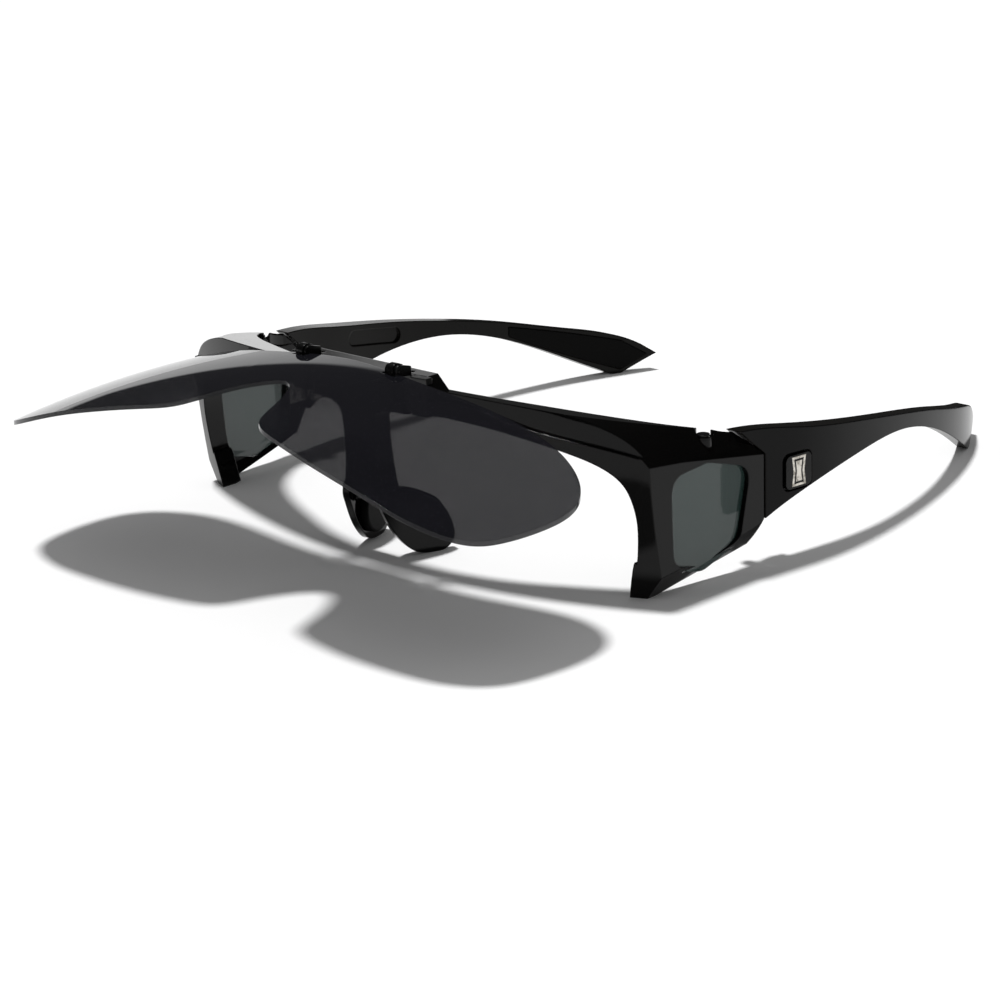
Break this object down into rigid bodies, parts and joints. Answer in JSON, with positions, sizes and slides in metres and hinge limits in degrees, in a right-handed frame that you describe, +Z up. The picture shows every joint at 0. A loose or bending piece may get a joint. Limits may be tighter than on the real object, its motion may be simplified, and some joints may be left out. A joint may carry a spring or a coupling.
{
  "type": "fitover sunglasses",
  "caption": "Wraparound fit-over sunglasses with side windows, folding temples and a flip-up tinted shield hinged on the brow.",
  "frame": {"origin": "on the table, under the middle of the bounding box with the shield turned up and the temples open", "axes": "+X to the wearer's left, +Y from the front to the temple tips, +Z up"},
  "size_m": [0.1598, 0.2174, 0.05],
  "materials": {
    "frame": "polished black moulding",
    "temple": "polished black moulding, satin inside",
    "shield_tint": "polished grey tinted shield",
    "side_lens": "polished green-grey tinted side lens",
    "soft_rubber": "soft matte black",
    "grip_rubber": "matte black with grooves",
    "bracket": "black",
    "steel": "bright steel",
    "badge": "plain satin nickel plate"
  },
  "bodies": {
    "frame": {"frame_front": "frame", "side_lens_left": "side_lens", "side_lens_right": "side_lens", "nose_pad_left": "soft_rubber", "nose_pad_right": "soft_rubber", "front_leaf_left": "steel", "front_leaf_right": "steel", "front_leaf_rivets": "steel", "flip_bracket_left": "bracket", "flip_bracket_right": "bracket", "flip_bracket_screws": "steel", "flip_pin_left": "steel", "flip_pin_right": "steel", "hinge_screw_left": "steel", "hinge_screw_right": "steel", "corner_screw_left": "steel", "corner_screw_right": "steel"},
    "shield": {"shield_lens": "shield_tint", "shield_clip_left": "steel", "shield_clip_right": "steel", "shield_clip_rivets": "steel"},
    "temple_left": {"temple_left": "temple", "temple_grip_left": "grip_rubber", "temple_leaf_left": "steel", "temple_leaf_rivets_left": "steel", "temple_badge_left": "badge"},
    "temple_right": {"temple_right": "temple", "temple_grip_right": "grip_rubber", "temple_leaf_right": "steel", "temple_leaf_rivets_right": "steel", "temple_badge_right": "badge"}
  },
  "joints": [
    {"name": "temple_left_fold", "type": "hinge", "parent": "frame", "child": "temple_left", "pos_m": [0.07, -0.00763, 0.01945], "axis": [0, 0, 1], "range_deg": [0, 90]},
    {"name": "temple_right_fold", "type": "hinge", "parent": "frame", "child": "temple_right", "pos_m": [-0.07, -0.00763, 0.01945], "axis": [0, 0, -1], "range_deg": [0, 80]},
    {"name": "shield_flip", "type": "hinge", "parent": "frame", "child": "shield", "pos_m": [0, -0.06203, 0.0483], "axis": [-1, 0, 0], "range_deg": [-90.5, 0]}
  ]
}
